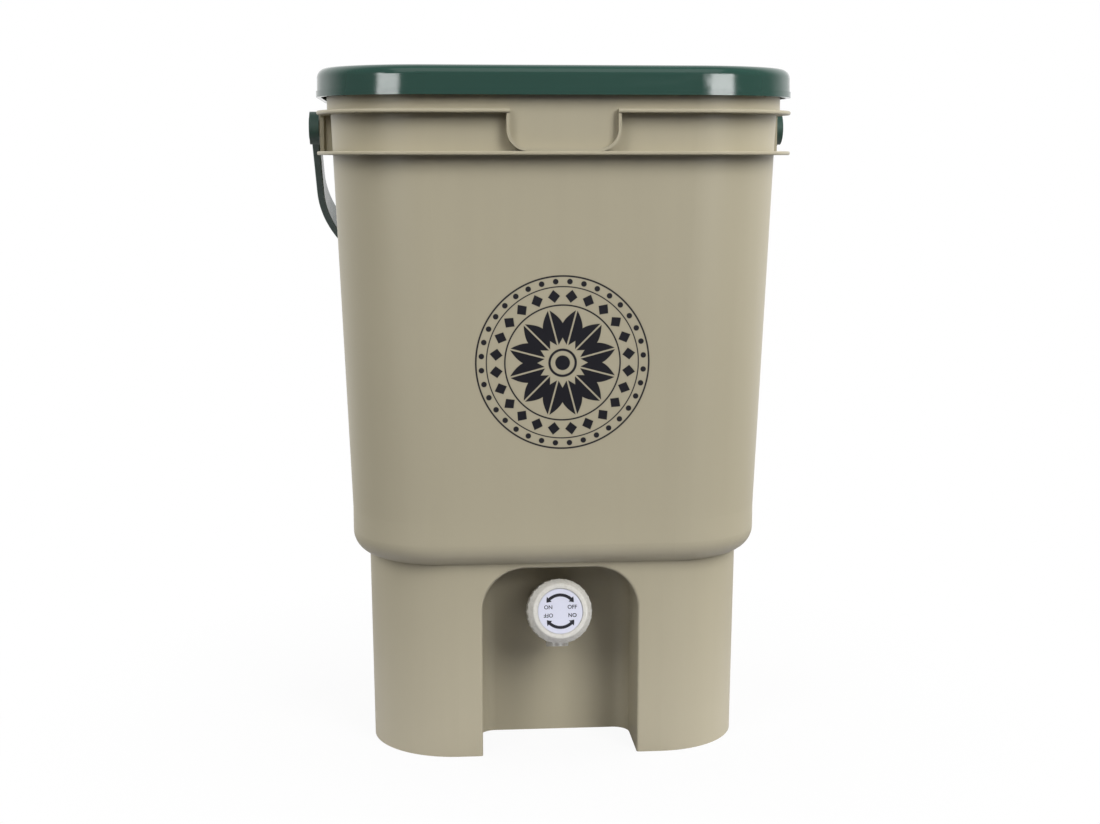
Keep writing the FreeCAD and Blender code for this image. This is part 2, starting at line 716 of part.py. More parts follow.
def make_tap_body():
    """The tap's moulding: shank through the wall, flange, tilted barrel, spout and the water's way."""
    body = new_body("tap_body")
    back = "180 + barrel_tilt"

    def along_shank(distance):
        return f"({distance}) * sin(barrel_tilt)", f"-({distance}) * cos(barrel_tilt)"
    cylinder(body, "Additive", "barrel_radius", "barrel_length + barrel_back", base=("0", "-barrel_back"))
    cylinder(body, "Additive", "shank_radius", "shank_total", back)
    flange_start = "barrel_start - washer_thickness - tap_flange_thickness"
    cylinder(body, "Additive", "tap_flange_radius", "tap_flange_thickness", back, along_shank(flange_start))
    cylinder(body, "Additive", "spout_radius", "spout_drop", "90", ("0", "spout_along"))
    cylinder(body, "Subtractive", "barrel_bore", "barrel_length")
    cylinder(body, "Subtractive", "shank_bore", "shank_total + barrel_back", back,
             along_shank("-barrel_back"))
    cylinder(body, "Subtractive", "spout_bore", "spout_drop", "90", ("0", "spout_along"))
    place_on_barrel(body)
    return body


def make_stem():
    """The spindle: valve head, rod, grooved piston and the end that the knob holds."""
    piston, groove = "barrel_bore - running_gap", "barrel_bore - 2 * seal_cord_radius - 2 * running_gap"
    end = "piston_start + piston_length"
    middle = "piston_start + piston_length / 2"
    half = "(seal_cord_radius + running_gap)"
    return turned_on_barrel("tap_stem", [
        ("0", "valve_thickness"), ("stem_radius + wall", "valve_thickness"),
        ("stem_radius + wall", "2 * valve_thickness"), ("stem_radius", "2 * valve_thickness"),
        ("stem_radius", "piston_start"), (piston, "piston_start"), (piston, f"{middle} - {half}"),
        (groove, f"{middle} - {half}"), (groove, f"{middle} + {half}"), (piston, f"{middle} + {half}"),
        (piston, end), ("stem_radius", end), ("stem_radius", "knob_inside"), ("0", "knob_inside"),
    ])


def make_stem_seal():
    """The O-ring in the piston's groove."""
    body = new_body("tap_stem_seal")
    sketch = new_sketch(body, "XZ_Plane")
    add_circle(sketch, "seal_cord_radius", "barrel_bore - seal_cord_radius - running_gap",
               "piston_start + piston_length / 2")
    revolve(body, sketch)
    place_on_barrel(body)
    return body


def make_knob():
    """The knob: a ribbed cup with a bevelled front, a recess for the label and a hub for the stem."""
    inner, hub = "knob_radius - knob_wall", "knob_hub_radius"
    bore, mouth = "stem_radius + running_gap", "knob_inside - knob_hub_length"
    recess = "label_radius + part_gap"
    body = turned_on_barrel("tap_knob", [
        ("0", "knob_inside"), (bore, "knob_inside"), (bore, mouth), (hub, mouth), (hub, "knob_inside"),
        (inner, "knob_inside"), (inner, "knob_start"), ("knob_radius", "knob_start"),
        ("knob_radius", "knob_front - knob_bevel"), ("knob_ring_radius", "knob_front"),
        (recess, "knob_front"), (recess, "label_base"), ("0", "label_base"),
    ])
    wide = value("2 * label_radius + knob_round")
    for height in ("knob_front - knob_bevel", "knob_front"):
        at_height = level(height)
        fillet(body, "knob_round", lambda box: at_height(box) and box.XLength > wide)
    rib = new_sketch(body, "XY_Plane", "knob_start")
    add_rectangle(rib, "knob_radius - knob_wall / 2", "knob_radius + knob_rib_height",
                  "-knob_rib_width / 2", "knob_rib_width / 2")
    pad = extrude(body, "Pad", rib, "knob_depth - knob_bevel")
    ribs = body.newObject("PartDesign::PolarPattern", "tap_knob_ribs")
    ribs.Originals = [pad]
    ribs.Axis = (rib, ["N_Axis"])
    ribs.Angle = 360
    ribs.Occurrences = KNOB_RIBS
    body.Tip = ribs
    doc.recompute()
    return body


doc = FreeCAD.newDocument("bokashi_bin")
sheet = make_sheet()
subparts = [
    make_bin(),
    make_lid(),
    make_lid_seal(),
    make_handle_arm("handle_arm_left", "-"),
    make_handle_arm("handle_arm_right", ""),
    make_handle_grip(),
    make_strainer_tray(),
    make_tap_ring("tap_outer_washer", "washer_thickness", "tap_flange_radius", "washer_thickness"),
    make_tap_ring("tap_inner_washer", "(-wall)", "tap_flange_radius - wall", "washer_thickness"),
    make_lock_nut(),
    make_tap_body(),
    turned_on_barrel("tap_valve_washer", disc("valve_radius", "0", "valve_thickness")),
    make_stem(),
    make_stem_seal(),
    make_knob(),
    turned_on_barrel("tap_label", disc("label_radius", "label_base", "label_base + label_thickness")),
]
doc.recompute()

for item in doc.Objects:
    if "Invalid" in item.State or "Error" in item.State:
        raise RuntimeError(f"{item.Label} failed: {item.State}")
for part in subparts:
    if part.Shape.isNull() or not part.Shape.isValid() or len(part.Shape.Solids) != 1:
        raise RuntimeError(f"{part.Label} is not one valid solid")

os.makedirs("parts", exist_ok=True)
for part in subparts:
    part.Shape.exportStep(f"parts/{part.Label}.step")
    print(f"{part.Label}: {part.Shape.Volume / 1000:.1f} cm3")
print(f"handle hangs {value('handle_rest'):.2f} degrees from straight down")
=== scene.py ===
"""Looks of a bokashi bin: finishes of its mouldings, print on its front and its tap, and a white studio.

The file is laid out as an add-on and run as a script. Lengths are metres, +Z is up and the front faces -Y.
"""
import json
import math

import bmesh
import bpy
import numpy as np
from bpy.props import FloatProperty, FloatVectorProperty, PointerProperty
from mathutils import Euler, Matrix, Vector


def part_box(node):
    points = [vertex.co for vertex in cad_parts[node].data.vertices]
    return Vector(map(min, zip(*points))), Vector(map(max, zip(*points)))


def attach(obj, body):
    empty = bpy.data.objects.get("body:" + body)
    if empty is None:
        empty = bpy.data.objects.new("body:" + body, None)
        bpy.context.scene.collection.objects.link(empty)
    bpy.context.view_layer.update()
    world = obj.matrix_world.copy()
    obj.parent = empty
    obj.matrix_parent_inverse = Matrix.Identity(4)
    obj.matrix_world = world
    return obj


bl_info = {
    "name": "Bokashi bin",
    "version": (1, 0, 0),
    "blender": (4, 5, 0),
    "location": "View3D > Sidebar > Bokashi bin",
    "description": "Finishes and studio for a bokashi bin with lid, bail, drain tray and tap",
    "category": "Object",
}

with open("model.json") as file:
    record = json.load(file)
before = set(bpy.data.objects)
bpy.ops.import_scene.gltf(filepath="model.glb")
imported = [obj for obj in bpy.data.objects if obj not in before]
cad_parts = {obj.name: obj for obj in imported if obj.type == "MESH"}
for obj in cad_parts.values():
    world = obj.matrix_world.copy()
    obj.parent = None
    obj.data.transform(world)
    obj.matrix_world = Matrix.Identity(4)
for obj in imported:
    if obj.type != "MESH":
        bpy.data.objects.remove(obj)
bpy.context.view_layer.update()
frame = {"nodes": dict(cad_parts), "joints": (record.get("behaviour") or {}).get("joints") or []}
JOINTS = {joint["name"]: joint for joint in frame["joints"]}
TAP_AXIS = Vector(JOINTS["tap_turn"]["axis"]).normalized()

# Front wall: how far it leans forward for each metre of height, and how deep print may lie behind its plane.
WALL_LEAN = 0.0139
PRINT_DEPTH = 0.0012

# Rosette, in shares of its outer radius: count, ring and sizes of each motif, and middle and half width of
# each plain ring and of the band that the petals keep to.
ROSETTE_EDGE = 0.003
DOTS, DOT_RING, DOT_RADIUS = 36, 0.93, 0.032
LOZENGES, LOZENGE_RING, LOZENGE_EDGE = 24, 0.765, 0.04
LOZENGE_HALF_WIDTH, LOZENGE_HALF_LENGTH = 0.07, 0.075
PETALS, PETAL_START, PETAL_LENGTH = 12, 0.2, 0.43
PETAL_HALF_WIDTH, PETAL_RIB = 0.125, 0.009
PETAL_BAND = (0.415, 0.205)
HUB_RING, HUB_RADIUS = (0.15, 0.014), 0.085
PLAIN_RINGS = ((0.99, 0.01), (0.87, 0.007), (0.66, 0.009))

# Label: where an arrow's shaft ends and its tip lies, the head's half width in shaft widths, and a soft edge.
ARROW_END, ARROW_TIP = math.radians(42), math.radians(58)
ARROW_HEAD = 1.15
ARROW_EDGE = 0.002

# Lettering: height of capitals in shares of the font's size, half the letters' thickness, and added weight.
CAPITAL_SHARE = 0.69
LETTER_DEPTH = 0.00002
LETTER_WEIGHT = 0.00007

# Lamps: all face one point. An azimuth is degrees from the front to the right, a size is width and height.
# The two front sides are given by azimuth and width, and each holds a softbox above a card.
LAMP_AIM = Vector((0, 0, 0.22))
TOP_PLACE = {"azimuth": 0, "height": 1.9, "distance": 1.3, "size": (2.2, 1.6)}
KEY_SIDE, FILL_SIDE = (32, 1.6), (-39, 1.4)
FRONT_DISTANCE = 3.4
SOFTBOX_HEIGHT, SOFTBOX_TALL = 2.53, 2.8
CARD_HEIGHT, CARD_TALL = 0.89, 1.0
RIGHT_AZIMUTH, LEFT_AZIMUTH, BACK_AZIMUTH = 102, -110, 180
PANEL_PLACE = {"height": 1.1, "distance": 2.6, "size": (2.2, 2.2)}

# Floor: half its side, the colours that it throws back under the bin, round it and further off, the radii
# over which these change, the radii over which the shadow fades for the camera, and the shadow's own tones.
FLOOR_HALF = 4.0
UNDER_BOUNCE, NEAR_BOUNCE, FAR_BOUNCE = (0.25, 0.25, 0.27), (0.46, 0.46, 0.5), (0.03, 0.03, 0.03)
UNDER_TO_NEAR, NEAR_TO_FAR = (0.1, 0.13), (0.2, 0.42)
SHADOW_FADE, SHADOW_WHITE = (0.16, 0.36), 0.93
SHADOW_GREY = (0.6, 0.6, 0.6)

# White behind the bin in reflections: from where to where along Y the floor turns white, and how far up or
# back a direction into the room has to point for the ceiling or the backdrop to begin and to be full.
FLOOR_BEHIND = (0.1, 0.8)
CEILING_EDGE, BACKDROP_EDGE = (0.25, 0.7), (0.1, 0.6)

# Camera: width of the sensor in millimetres.
SENSOR_WIDTH = 36


def colour(name, description, value):
    """A colour setting, written as linear red, green and blue."""
    return FloatVectorProperty(name=name, description=description, default=value, size=3, min=0, max=1,
                               subtype="COLOR")


def length(name, description, value):
    """A length setting in metres."""
    return FloatProperty(name=name, description=description, default=value, min=0, unit="LENGTH")


def share(name, description, value):
    """A setting between 0 and 1."""
    return FloatProperty(name=name, description=description, default=value, min=0, max=1, subtype="FACTOR")


def light(name, description, value):
    """A brightness setting, where 1 is white."""
    return FloatProperty(name=name, description=description, default=value, min=0)


class FinishSettings(bpy.types.PropertyGroup):
    """Colours and gloss of the bin's plastics and rubbers."""
    taupe: colour("Taupe", "Colour of the bin and the drain tray", (0.392, 0.354, 0.256))
    taupe_roughness: share("Taupe roughness", "Satin of the bin's outside", 0.4)
    green: colour("Green", "Colour of the lid and the bail", (0.012, 0.055, 0.04))
    lid_roughness: share("Lid roughness", "Polish of the lid", 0.09)
    bail_roughness: share("Bail roughness", "Satin of the bail", 0.5)
    bail_polish: share("Bail polish", "How much smoother the bail is on its inside", 0.25)
    white: colour("White", "Colour of the tap's mouldings", (0.59, 0.58, 0.55))
    label: colour("Label", "Colour of the disc in the knob", (0.6, 0.61, 0.71))
    ink: colour("Ink", "Colour of all print", (0.006, 0.006, 0.011))
    rubber: colour("Rubber", "Colour of the washers", (0.018, 0.018, 0.018))
    seal: colour("Seal", "Colour of the lid's soft ring", (0.5, 0.5, 0.46))


class PrintSettings(bpy.types.PropertyGroup):
    """Sizes of the printed label and of the rosette on the front."""
    arrow_radius: length("Arrow radius", "Middle of the arrows on the label", 0.0099)
    arrow_width: length("Arrow width", "Thickness of the arrows on the label", 0.0019)
    letter_height: length("Letter height", "Height of the words on the label", 0.0023)
    word_place: FloatVectorProperty(
        name="Word place", description="Words' distance from the label's middle, across and along",
        size=2, default=(0.0074, 0.0024), unit="LENGTH")
    rosette_radius: length("Rosette radius", "Outer radius of the ornament on the front", 0.052)
    rosette_height: length("Rosette height", "Height of the ornament's middle above the floor", 0.247)
    wall_distance: length("Wall distance", "From the middle to the front wall, at the ornament", 0.10785)


class StudioSettings(bpy.types.PropertyGroup):
    """Camera and light."""
    camera_place: FloatVectorProperty(
        name="Camera place", description="Where the camera stands", size=3,
        default=(-0.0895, -1.0863, 0.3687), subtype="TRANSLATION", unit="LENGTH")
    camera_pitch: FloatProperty(name="Camera pitch", description="How far the camera looks down",
                                default=math.radians(8.75), subtype="ANGLE")
    camera_yaw: FloatProperty(name="Camera yaw", description="How far the camera turns to the right",
                              default=math.radians(4.79), subtype="ANGLE")
    camera_lens: FloatProperty(name="Lens", description="Focal length for a 36 mm wide sensor",
                               default=54.62, min=1, unit="CAMERA")
    top_light: light("Top light", "Brightness of the overhead softbox", 0.45)
    key_light: light("Key light", "Brightness of the right softbox", 9.5)
    fill_light: light("Fill light", "Brightness of the left softbox", 4.8)
    key_card: light("Key card", "Brightness of the right reflection card", 6.1)
    fill_card: light("Fill card", "Brightness of the left reflection card", 5.1)
    right_light: light("Right light", "Brightness of the panel at the right", 4.2)
    left_light: light("Left light", "Brightness of the panel at the left", 3.1)
    back_light: light("Back light", "Brightness of the panel behind", 2.4)
    ceiling_light: light("Ceiling light", "Brightness of the ceiling", 0.4)
    room_light: light("Room light", "Brightness of the rest of the room", 0.03)
    room_gloss: share("Room in reflections", "Brightness of the room in front as reflections show it", 0.25)


class Value:
    """A shader socket that takes part in Python arithmetic: operations add Math nodes."""

    def __init__(self, graph, socket):
        self.graph = graph
        self.socket = socket

    def math(self, operation, *others):
        inputs = dict(enumerate((self, *others)))
        return self.graph.node("ShaderNodeMath", {"operation": operation}, inputs)

    def __add__(self, other):
        return self.math("ADD", other)

    def __mul__(self, other):
        return self.math("MULTIPLY", other)

    def __sub__(self, other):
        return self.math("SUBTRACT", other)

    def __truediv__(self, other):
        return self.math("DIVIDE", other)

    def __pow__(self, other):
        return self.math("POWER", other)

    def __abs__(self):
        return self.math("ABSOLUTE")

    def __neg__(self):
        return self * -1

    def __rsub__(self, other):
        return -self + other

    def __rtruediv__(self, other):
        return (self ** -1) * other

    __radd__ = __add__
    __rmul__ = __mul__

    def ramp(self, start, end, low=0.0, high=1.0):
        """From low at the start to high at the end, and level outside them."""
        return self.graph.node("ShaderNodeMapRange", {"clamp": True}, {
            "Value": self, "From Min": start, "From Max": end, "To Min": low, "To Max": high})

    def below(self, limit, soft=1e-5):
        """1 where the value is under the limit and 0 above it, over a soft edge."""
        return (self - limit).ramp(soft, -soft)

    def above(self, limit, soft=1e-5):
        """1 where the value is over the limit and 0 under it, over a soft edge."""
        return 1 - self.below(limit, soft)

    def least(self, other):
        return self.math("MINIMUM", other)

    def most(self, other):
        return self.math("MAXIMUM", other)


class Graph:
    """A node tree, the coordinates it works in and a way to add nodes."""

    def __init__(self, tree, coordinates):
        self.tree = tree
        self.place = self.node("ShaderNodeTexCoord", output=coordinates)
        self.x, self.y, self.z = self.split(self.place)

    def node(self, kind, settings=None, inputs=None, output=0):
        """Add a node: its settings first, then a value or a link for each socket named."""
        made = self.tree.nodes.new(kind)
        for key, value in (settings or {}).items():
            setattr(made, key, value)
        for key, value in (inputs or {}).items():
            if isinstance(value, Value):
                self.tree.links.new(value.socket, made.inputs[key])
            else:
                made.inputs[key].default_value = value
        return Value(self, made.outputs[output])

    def split(self, vector):
        """The three parts of a vector as values."""
        parts = self.node("ShaderNodeSeparateXYZ", None, {0: vector})
        return [Value(self, socket) for socket in parts.socket.node.outputs]

    def rays(self, *kinds):
        """For each kind of ray, 1 where such a ray looks and 0 where another does."""
        return [self.node("ShaderNodeLightPath", output=f"Is {kind} Ray") for kind in kinds]


class Finish(Graph):
    """One material: a Principled shader in the piece's own coordinates."""

    def __init__(self, name, **constants):
        self.material = bpy.data.materials.new(name)
        self.material.use_nodes = True
        super().__init__(self.material.node_tree, "Object")
        self.shader = self.tree.nodes["Principled BSDF"]
        for key, value in constants.items():
            self.shader.inputs[key.replace("_", " ")].default_value = value

    def noise(self, scale, stretch=(1, 1, 1), detail=3.0, roughness=0.5):
        """Smooth noise from 0 to 1, with scale waves to the metre, stretched along the axes."""
        moved = self.node("ShaderNodeMapping", None, {"Vector": self.place, "Scale": stretch})
        return self.node("ShaderNodeTexNoise", None, {
            "Vector": moved, "Scale": scale, "Detail": detail, "Roughness": roughness})

    def mix(self, factor, first, second):
        """A colour between two colours."""
        node = self.node("ShaderNodeMix", {"data_type": "RGBA"}, {"Factor": factor}).socket.node
        ends = [socket for socket in node.inputs if socket.type == "RGBA"]
        for socket, value in zip(ends, (first, second)):
            if isinstance(value, Value):
                self.tree.links.new(value.socket, socket)
            else:
                socket.default_value = (*value, 1)
        return Value(self, next(socket for socket in node.outputs if socket.type == "RGBA"))

    def set(self, **links):
        """Feed the shader's own sockets."""
        for key, value in links.items():
            self.tree.links.new(value.socket, self.shader.inputs[key.replace("_", " ")])

    def bump(self, height, distance):
        """Let a height from 0 to 1, as deep as the distance, bend the shading."""
        self.set(Normal=self.node("ShaderNodeBump", None, {
            "Height": height, "Distance": distance, "Strength": 1.0}, "Normal"))


def shade(base, factor):
    """A colour made lighter or darker."""
    return tuple(min(1.0, channel * factor) for channel in base)


def dress(finish, *nodes):
    """Give a finish to CAD nodes."""
    for name in nodes:
        slots = frame["nodes"][name].material_slots
        for slot in slots:
            slot.material = finish.material
        if not slots:
            frame["nodes"][name].data.materials.append(finish.material)


def moulded_taupe(name, settings, printed=None):
    """Satin polypropylene: cloudy colour, upright flow lines and fine grain, with print, if any, on top."""
    finish = Finish(name, IOR=1.49, Specular_IOR_Level=0.4)
    base = tuple(settings.taupe)
    clouds = finish.noise(7, detail=2)
    flow = finish.noise(9, stretch=(9, 9, 0.6), detail=4)
    tone = (clouds * 0.6 + flow * 0.4).most(0).least(1)
    plastic = finish.mix(tone, shade(base, 0.93), shade(base, 1.07))
    grain = finish.noise(2600, detail=2)
    grain_share, cloud_share = 0.1, 0.08
    middle = settings.taupe_roughness - (grain_share + cloud_share) / 2
    roughness = grain * grain_share + clouds * cloud_share + middle
    if printed:
        ink = rosette(finish, printed)
        cover, smoothing = 0.99, 0.08
        plastic = finish.mix(ink * cover, plastic, tuple(settings.ink))
        roughness = roughness - ink * smoothing
    finish.set(Base_Color=plastic, Roughness=roughness)
    finish.bump(grain * 0.3 + finish.noise(24, detail=1) * 0.7, 0.00012)
    return finish


def rosette(finish, sizes):
    """Ink of a plain round ornament on the front wall.

    In polar form about its middle: rings are bands of radius, dots and lozenges repeat round a ring, and each
    petal is as wide as a half sine wave of the radius, with a bare rib along its middle.
    """
    up = finish.z - sizes.rosette_height
    radius = (finish.x ** 2 + up ** 2) ** 0.5 / sizes.rosette_radius
    turn = finish.x.math("ARCTAN2", up) / (2 * math.pi)

    def across(count):
        """Distance along the ring from the middle of the nearest of some even steps."""
        step = (turn * count + count).math("FRACT") - 0.5
        return abs(step) * radius * (2 * math.pi / count)

    def ring(middle, half):
        return abs(radius - middle).below(half, ROSETTE_EDGE)

    dots = ((across(DOTS) ** 2 + (radius - DOT_RING) ** 2) ** 0.5).below(DOT_RADIUS, ROSETTE_EDGE)
    lozenges = across(LOZENGES) / LOZENGE_HALF_WIDTH + abs(radius - LOZENGE_RING) / LOZENGE_HALF_LENGTH
    reach = ((radius - PETAL_START) / PETAL_LENGTH).most(0).least(1)
    width = (reach * math.pi).math("SINE") * PETAL_HALF_WIDTH
    petals = across(PETALS).below(width, ROSETTE_EDGE) * across(PETALS).above(PETAL_RIB, ROSETTE_EDGE)
    hub = ring(*HUB_RING).most(radius.below(HUB_RADIUS, ROSETTE_EDGE))
    ink = dots.most(lozenges.below(1, LOZENGE_EDGE)).most(petals * ring(*PETAL_BAND)).most(hub)
    for middle, half in PLAIN_RINGS:
        ink = ink.most(ring(middle, half))
    front = (-finish.y - (up * WALL_LEAN + sizes.wall_distance)).above(-PRINT_DEPTH)
    return ink * front


def moulded_green(name, settings, roughness, wave, polish=0.0):
    """Green polypropylene, polished or satin, with slow waves of the mould and faint scuffs.

    Polish makes faces that look towards the middle plane smoother than the others: there the face's direction
    along X and its place along X have opposite signs, so that their product is negative.
    """
    finish = Finish(name, IOR=1.5, Specular_IOR_Level=1.0)
    base = tuple(settings.green)
    clouds = finish.noise(11, detail=3)
    finish.set(Base_Color=finish.mix(clouds, shade(base, 0.85), shade(base, 1.15)))
    scuffs = finish.noise(40, stretch=(1, 6, 6), detail=6, roughness=0.7)
    gloss = (scuffs - 0.45).most(0) * 0.35 + roughness
    if polish:
        facing = finish.split(finish.node("ShaderNodeTexCoord", output="Normal"))[0]
        gloss = gloss - (facing * finish.x).below(-0.04, 0.02) * polish
    finish.set(Roughness=gloss)
    finish.bump(finish.noise(wave, detail=2) * 0.8 + finish.noise(1800, detail=1) * 0.2, 0.0001)
    return finish


def moulded_white(settings):
    """Glossy white plastic with patches of a warmer tint and a fine ripple."""
    finish = Finish("moulded_white", IOR=1.5)
    base = tuple(settings.white)
    warm = (base[0], base[1] * 0.985, base[2] * 0.93)
    finish.set(Base_Color=finish.mix(finish.noise(120, detail=4), base, warm))
    finish.set(Roughness=finish.noise(300, detail=3) * 0.15 + 0.2)
    finish.bump(finish.noise(420, detail=2), 0.00005)
    return finish


def black_rubber(settings):
    """Matt rubber with a bloom of paler dust."""
    finish = Finish("black_rubber", IOR=1.5)
    base = tuple(settings.rubber)
    dust = finish.noise(500, detail=5, roughness=0.7)
    finish.set(Base_Color=finish.mix(dust, base, shade(base, 2.2)))
    finish.set(Roughness=dust * 0.2 + 0.65)
    finish.bump(finish.noise(2200, detail=2), 0.0001)
    return finish


def soft_seal(settings):
    """Pale soft ring with a dull skin."""
    finish = Finish("soft_seal", IOR=1.43)
    base = tuple(settings.seal)
    cloud = finish.noise(90, detail=4)
    finish.set(Base_Color=finish.mix(cloud, shade(base, 0.92), shade(base, 1.06)))
    finish.set(Roughness=cloud * 0.15 + 0.5)
    finish.bump(finish.noise(900, detail=2), 0.0001)
    return finish


def printed_label(settings, sizes):
    """Film on the knob's face: two double-headed arc arrows, drawn in the disc's own plane."""
    finish = Finish("printed_label", IOR=1.5)
    centre = label_middle()
    up = label_plane()[1]
    across = abs(finish.x)
    along = abs((finish.y - centre.y) * up.y + (finish.z - centre.z) * up.z)
    radius = (across ** 2 + along ** 2) ** 0.5
    turn = across.math("ARCTAN2", along)
    off = abs(radius - sizes.arrow_radius)
    shaft = off.below(sizes.arrow_width / 2) * turn.below(ARROW_END, ARROW_EDGE)
    head = off.below((ARROW_TIP - turn) * (sizes.arrow_width * ARROW_HEAD / (ARROW_TIP - ARROW_END)))
    ink = shaft.most(head * turn.above(ARROW_END, ARROW_EDGE))
    film = finish.noise(700, detail=3)
    paper = finish.mix(film, shade(settings.label, 0.97), shade(settings.label, 1.03))
    finish.set(Base_Color=finish.mix(ink, paper, tuple(settings.ink)))
    finish.set(Roughness=film * 0.1 + 0.3)
    finish.bump(film, 0.00003)
    return finish


def printed_ink(settings):
    """Dark print with a faint unevenness."""
    finish = Finish("printed_ink", IOR=1.5)
    film = finish.noise(900, detail=3)
    finish.set(Base_Color=finish.mix(film, tuple(settings.ink), shade(settings.ink, 1.8)))
    finish.set(Roughness=film * 0.1 + 0.35)
    return finish


def print_words(finish, sizes):
    """ON and OFF on the label, twice, so that a half turn of the knob shows the same words.

    Each word is built-in lettering made a mesh, then carried onto the plane of the label's face.
    """
    right, up = label_plane()
    middle = label_middle()
    rise = (mesh_points(frame["nodes"]["tap_label"].data) - np.array(middle)) @ np.array(TAP_AXIS)
    plane = Matrix((right, up, TAP_AXIS)).transposed().to_4x4()
    plane.translation = middle + TAP_AXIS * rise.max()
    words = bmesh.new()
    for word, side in (("ON", -1), ("OFF", 1)):
        for half in (0, math.pi):
            letters = word_mesh(word, sizes.letter_height)
            shift = Matrix.Translation((side * sizes.word_place[0], sizes.word_place[1], 0))
            letters.transform(plane @ Matrix.Rotation(half, 4, "Z") @ shift)
            words.from_mesh(letters)
    mesh = bpy.data.meshes.new("tap_words")
    words.to_mesh(mesh)
    words.free()
    mesh.materials.append(finish.material)
    piece = bpy.data.objects.new("tap_words", mesh)
    bpy.context.scene.collection.objects.link(piece)
    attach(piece, "tap_knob")


def word_mesh(word, height):
    """One word as thin solid letters, centred on the origin, with capitals of the given height."""
    curve = bpy.data.curves.new(word, "FONT")
    curve.body = word
    curve.align_x, curve.align_y = "CENTER", "CENTER"
    curve.size = height / CAPITAL_SHARE
    curve.extrude = LETTER_DEPTH
    curve.offset = LETTER_WEIGHT
    curve.resolution_u = 4
    holder = bpy.data.objects.new(word, curve)
    mesh = bpy.data.meshes.new_from_object(holder)
    bpy.data.objects.remove(holder)
    return mesh


def mesh_points(mesh):
    """Corners of a mesh as an array with one row each."""
    points = np.empty(len(mesh.vertices) * 3)
    mesh.vertices.foreach_get("co", points)
    return points.reshape(-1, 3)


def label_middle():
    """Middle of the label."""
    low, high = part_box("tap_label")
    return (Vector(low) + Vector(high)) / 2


def label_plane():
    """Directions to the right and up along the tilted label."""
    right = Vector((1, 0, 0))
    up = TAP_AXIS.cross(right).normalized()
    return right, up


class BOKASHI_OT_tank(bpy.types.Operator):
    """Finish the bin, with its printed rosette, and the drain tray in satin taupe"""
    bl_idname = "bokashi.tank"
    bl_label = "Bin and drain tray"

    def execute(self, context):
        settings = context.scene.bokashi_finish
        dress(moulded_taupe("printed_taupe", settings, context.scene.bokashi_print), "bin")
        dress(moulded_taupe("moulded_taupe", settings), "strainer_tray")
        return {"FINISHED"}


class BOKASHI_OT_lid(bpy.types.Operator):
    """Finish the polished lid and its soft seal"""
    bl_idname = "bokashi.lid"
    bl_label = "Lid and seal"

    def execute(self, context):
        settings = context.scene.bokashi_finish
        dress(moulded_green("polished_green", settings, settings.lid_roughness, wave=30), "lid")
        dress(soft_seal(settings), "lid_seal")
        return {"FINISHED"}


class BOKASHI_OT_bail(bpy.types.Operator):
    """Finish the strap bail"""
    bl_idname = "bokashi.bail"
    bl_label = "Bail"

    def execute(self, context):
        settings = context.scene.bokashi_finish
        satin = moulded_green("satin_green", settings, settings.bail_roughness, wave=80,
                              polish=settings.bail_polish)
        dress(satin, "handle_arm_left", "handle_arm_right", "handle_grip")
        return {"FINISHED"}


class BOKASHI_OT_tap(bpy.types.Operator):
    """Finish the tap's mouldings, its washers and its label"""
    bl_idname = "bokashi.tap"
    bl_label = "Tap"

    def execute(self, context):
        settings = context.scene.bokashi_finish
        sizes = context.scene.bokashi_print
        dress(moulded_white(settings), "tap_body", "tap_knob", "tap_lock_nut", "tap_stem")
        dress(black_rubber(settings),
              "tap_outer_washer", "tap_inner_washer", "tap_valve_washer", "tap_stem_seal")
        dress(printed_label(settings, sizes), "tap_label")
        print_words(printed_ink(settings), sizes)
        return {"FINISHED"}


class BOKASHI_OT_studio(bpy.types.Operator):
    """Set up the white floor, the room light, the lamps and the camera"""
    bl_idname = "bokashi.studio"
    bl_label = "Studio"

    def execute(self, context):
        settings = context.scene.bokashi_studio
        context.scene.view_settings.view_transform = "Standard"
        lay_floor()
        light_room(context.scene, settings)
        hang_lamp("top_softbox", settings.top_light, **TOP_PLACE)
        for side, (azimuth, width), softbox, card in (
                ("key", KEY_SIDE, settings.key_light, settings.key_card),
                ("fill", FILL_SIDE, settings.fill_light, settings.fill_card)):
            hang_lamp(side + "_softbox", softbox, azimuth, SOFTBOX_HEIGHT, FRONT_DISTANCE,
                      (width, SOFTBOX_TALL), mirrored=False)
            hang_lamp(side + "_card", card, azimuth, CARD_HEIGHT, FRONT_DISTANCE,
                      (width, CARD_TALL), lights=False)
        for side, azimuth, panel in (
                ("right", RIGHT_AZIMUTH, settings.right_light),
                ("left", LEFT_AZIMUTH, settings.left_light),
                ("back", BACK_AZIMUTH, settings.back_light)):
            hang_lamp(side + "_panel", panel, azimuth, mirrored=False, **PANEL_PLACE)
        place_camera(context.scene, settings)
        return {"FINISHED"}


